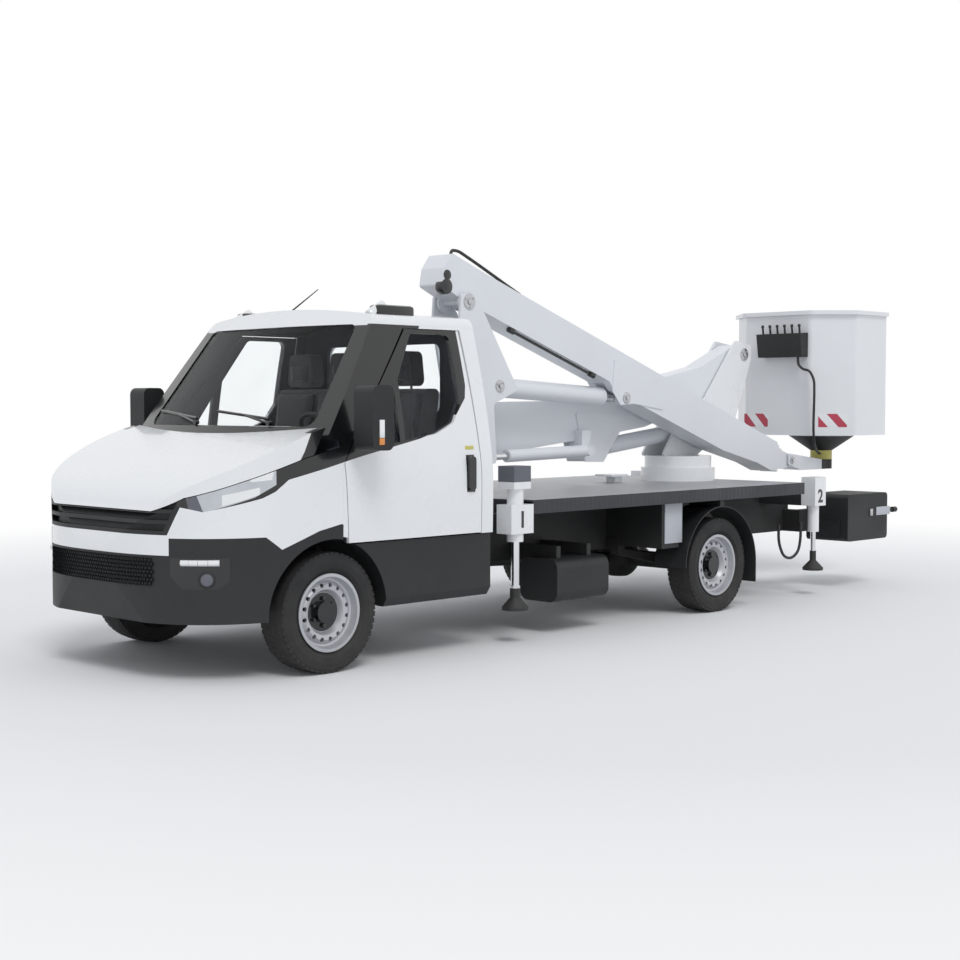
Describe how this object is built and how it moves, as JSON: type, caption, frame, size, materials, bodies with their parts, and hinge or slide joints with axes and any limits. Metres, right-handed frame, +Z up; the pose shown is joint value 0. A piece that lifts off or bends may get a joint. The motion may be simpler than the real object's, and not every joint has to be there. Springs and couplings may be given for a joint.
{
  "type": "cherry picker truck",
  "caption": "Light chassis-cab truck with a deck, stabiliser legs and a slewing, folding and telescoping boom that lifts a work basket.",
  "frame": {"origin": "on the ground under the middle of the whole vehicle", "axes": "+Y points to the rear along the vehicle's length, +X to its left side and +Z up; the cab faces -Y"},
  "size_m": [2.445, 7.74, 2.5904],
  "materials": {
    "white_paint": "gloss white paint",
    "black_plastic": "matte black",
    "dark_frame": "dark satin paint",
    "engine_metal": "cast",
    "glass": "clear",
    "lamp_clear": "clear lens",
    "seat_fabric": "woven",
    "deck_metal": "chequer plate",
    "steel": "satin",
    "tyre": "matte",
    "rim_paint": "silver paint",
    "chrome": "polished",
    "basket_white": "gloss glass-fibre",
    "hose_rubber": "matte"
  },
  "bodies": {
    "vehicle": {"chassis_frame": "dark_frame", "front_axle": "dark_frame", "rear_axle": "dark_frame", "engine_block": "engine_metal", "side_tank": "black_plastic", "cab_shell": "white_paint", "cab_glass": "glass", "cab_sills": "black_plastic", "front_wings": "white_paint", "front_bumper": "black_plastic", "grille": "black_plastic", "headlamps": "lamp_clear", "dashboard": "black_plastic", "seats": "seat_fabric", "deck": "deck_metal", "mudguards": "black_plastic", "tool_box": "black_plastic", "stabiliser_housings": "white_paint", "slew_ring": "white_paint", "stabiliser_hose": "hose_rubber"},
    "door_left": {"door_left": "white_paint", "door_glass_left": "glass", "mirror_left": "black_plastic"},
    "door_right": {"door_right": "white_paint", "door_glass_right": "glass", "mirror_right": "black_plastic"},
    "bonnet": {"bonnet": "white_paint"},
    "knuckle_left": {"knuckle_left": "dark_frame"},
    "knuckle_right": {"knuckle_right": "dark_frame"},
    "wheel_front_left": {"tyre_front_left": "tyre", "rim_front_left": "rim_paint"},
    "wheel_front_right": {"tyre_front_right": "tyre", "rim_front_right": "rim_paint"},
    "wheel_rear_left": {"tyre_rear_left": "tyre", "rim_rear_left": "rim_paint"},
    "wheel_rear_right": {"tyre_rear_right": "tyre", "rim_rear_right": "rim_paint"},
    "leg_front_left": {"leg_front_left": "steel"},
    "leg_front_right": {"leg_front_right": "steel"},
    "leg_rear_left": {"leg_rear_left": "steel"},
    "leg_rear_right": {"leg_rear_right": "steel"},
    "turret": {"turret": "white_paint"},
    "lower_boom": {"lower_boom": "white_paint"},
    "lift_barrel": {"lift_barrel": "white_paint"},
    "lift_rod": {"lift_rod": "chrome"},
    "level_barrel": {"level_barrel": "white_paint"},
    "level_rod": {"level_rod": "chrome"},
    "elbow": {"elbow": "white_paint"},
    "upper_boom": {"upper_boom": "white_paint", "boom_hose": "hose_rubber"},
    "raise_barrel": {"raise_barrel": "white_paint"},
    "raise_rod": {"raise_rod": "chrome"},
    "boom_stage_2": {"boom_stage_2": "white_paint"},
    "boom_stage_3": {"boom_stage_3": "white_paint"},
    "basket_bracket": {"basket_bracket": "white_paint"},
    "basket": {"basket": "basket_white", "control_box": "black_plastic", "basket_hose": "hose_rubber"}
  },
  "joints": [
    {"name": "door_left_hinge", "type": "hinge", "parent": "vehicle", "child": "door_left", "pos_m": [0.997, -2.81, 1.3], "axis": [0, 0, -1], "range_deg": [0, 65]},
    {"name": "door_right_hinge", "type": "hinge", "parent": "vehicle", "child": "door_right", "pos_m": [-0.997, -2.81, 1.3], "axis": [0, 0, 1], "range_deg": [0, 65]},
    {"name": "bonnet_hinge", "type": "hinge", "parent": "vehicle", "child": "bonnet", "pos_m": [0, -2.845, 1.4], "axis": [-1, 0, 0], "range_deg": [0, 50]},
    {"name": "steer_left", "type": "hinge", "parent": "vehicle", "child": "knuckle_left", "pos_m": [0.7, -2.92, 0.35], "axis": [0, 0, 1], "range_deg": [-33, 33]},
    {"name": "steer_right", "type": "hinge", "parent": "vehicle", "child": "knuckle_right", "pos_m": [-0.7, -2.92, 0.35], "axis": [0, 0, 1], "range_deg": [-33, 33]},
    {"name": "wheel_front_left_spin", "type": "hinge", "parent": "knuckle_left", "child": "wheel_front_left", "pos_m": [0.858, -2.92, 0.35], "axis": [1, 0, 0], "continuous": true},
    {"name": "wheel_front_right_spin", "type": "hinge", "parent": "knuckle_right", "child": "wheel_front_right", "pos_m": [-0.858, -2.92, 0.35], "axis": [1, 0, 0], "continuous": true},
    {"name": "wheel_rear_left_spin", "type": "hinge", "parent": "vehicle", "child": "wheel_rear_left", "pos_m": [0.845, 0.83, 0.35], "axis": [1, 0, 0], "continuous": true},
    {"name": "wheel_rear_right_spin", "type": "hinge", "parent": "vehicle", "child": "wheel_rear_right", "pos_m": [-0.845, 0.83, 0.35], "axis": [1, 0, 0], "continuous": true},
    {"name": "leg_front_left_slide", "type": "slide", "parent": "vehicle", "child": "leg_front_left", "axis": [0, 0, -1], "range_m": [0, 0.4]},
    {"name": "leg_rear_left_slide", "type": "slide", "parent": "vehicle", "child": "leg_rear_left", "axis": [0, 0, -1], "range_m": [0, 0.35]},
    {"name": "leg_front_right_slide", "type": "slide", "parent": "vehicle", "child": "leg_front_right", "axis": [0, 0, -1], "range_m": [0, 0.4]},
    {"name": "leg_rear_right_slide", "type": "slide", "parent": "vehicle", "child": "leg_rear_right", "axis": [0, 0, -1], "range_m": [0, 0.35]},
    {"name": "slew", "type": "hinge", "parent": "vehicle", "child": "turret", "pos_m": [0, 1.58, 1.03], "axis": [0, 0, 1], "range_deg": [-180, 180]},
    {"name": "lower_boom_raise", "type": "hinge", "parent": "turret", "child": "lower_boom", "pos_m": [-0.1175, 2.5, 1.965], "axis": [-1, 0, 0], "range_deg": [0, 75]},
    {"name": "elbow_level", "type": "hinge", "parent": "lower_boom", "child": "elbow", "pos_m": [-0.1175, -0.97, 1.42], "axis": [-1, 0, 0], "range_deg": [-75, 0]},
    {"name": "upper_boom_raise", "type": "hinge", "parent": "elbow", "child": "upper_boom", "pos_m": [0.15, -1.12, 2.235], "axis": [1, 0, 0], "range_deg": [0, 95]},
    {"name": "stage_2_extend", "type": "slide", "parent": "upper_boom", "child": "boom_stage_2", "axis": [0, 0.9461, -0.3239], "range_m": [0, 3]},
    {"name": "stage_3_extend", "type": "slide", "parent": "boom_stage_2", "child": "boom_stage_3", "axis": [0, 0.9461, -0.3239], "range_m": [0, 3]},
    {"name": "basket_level", "type": "hinge", "parent": "boom_stage_3", "child": "basket_bracket", "pos_m": [0.15, 2.88, 1.06], "axis": [1, 0, 0], "range_deg": [-95, 0]},
    {"name": "basket_turn", "type": "hinge", "parent": "basket_bracket", "child": "basket", "pos_m": [0.15, 3.48, 1.06], "axis": [0, 0, 1], "range_deg": [-90, 90]},
    {"name": "lift_barrel_hinge", "type": "hinge", "parent": "turret", "child": "lift_barrel", "pos_m": [-0.1175, 1.93, 1.342], "axis": [-1, 0, 0], "range_deg": [0, 79.9]},
    {"name": "lift_rod_slide", "type": "slide", "parent": "lift_barrel", "child": "lift_rod", "axis": [0, -0.9936, -0.113], "range_m": [0, 1.017]},
    {"name": "level_barrel_hinge", "type": "hinge", "parent": "lower_boom", "child": "level_barrel", "pos_m": [0.075, 0.37, 1.19], "axis": [-1, 0, 0], "range_deg": [0, 9.8]},
    {"name": "level_rod_slide", "type": "slide", "parent": "level_barrel", "child": "level_rod", "axis": [0, -0.9997, -0.0224], "range_m": [-0.24, 0]},
    {"name": "raise_barrel_hinge", "type": "hinge", "parent": "elbow", "child": "raise_barrel", "pos_m": [0.15, -0.82, 1.667], "axis": [1, 0, 0], "range_deg": [0, 88.4]},
    {"name": "raise_rod_slide", "type": "slide", "parent": "raise_barrel", "child": "raise_rod", "axis": [0, 0.9985, -0.0552], "range_m": [0, 0.924]}
  ],
  "couplings": [
    {"joint": "steer_right", "follows": "steer_left", "ratio": 1},
    {"joint": "elbow_level", "follows": "lower_boom_raise", "ratio": -1},
    {"joint": "stage_3_extend", "follows": "stage_2_extend", "ratio": 1},
    {"joint": "basket_level", "follows": "upper_boom_raise", "ratio": -1},
    {"joint": "lift_barrel_hinge", "follows": "lower_boom_raise", "ratio": 1.0649},
    {"joint": "lift_rod_slide", "follows": "lower_boom_raise", "m_per_rad": 0.7764},
    {"joint": "level_barrel_hinge", "follows": "lower_boom_raise", "ratio": 0.13042},
    {"joint": "level_rod_slide", "follows": "lower_boom_raise", "m_per_rad": -0.18288},
    {"joint": "raise_barrel_hinge", "follows": "upper_boom_raise", "ratio": 0.93042},
    {"joint": "raise_rod_slide", "follows": "upper_boom_raise", "m_per_rad": 0.55713}
  ]
}
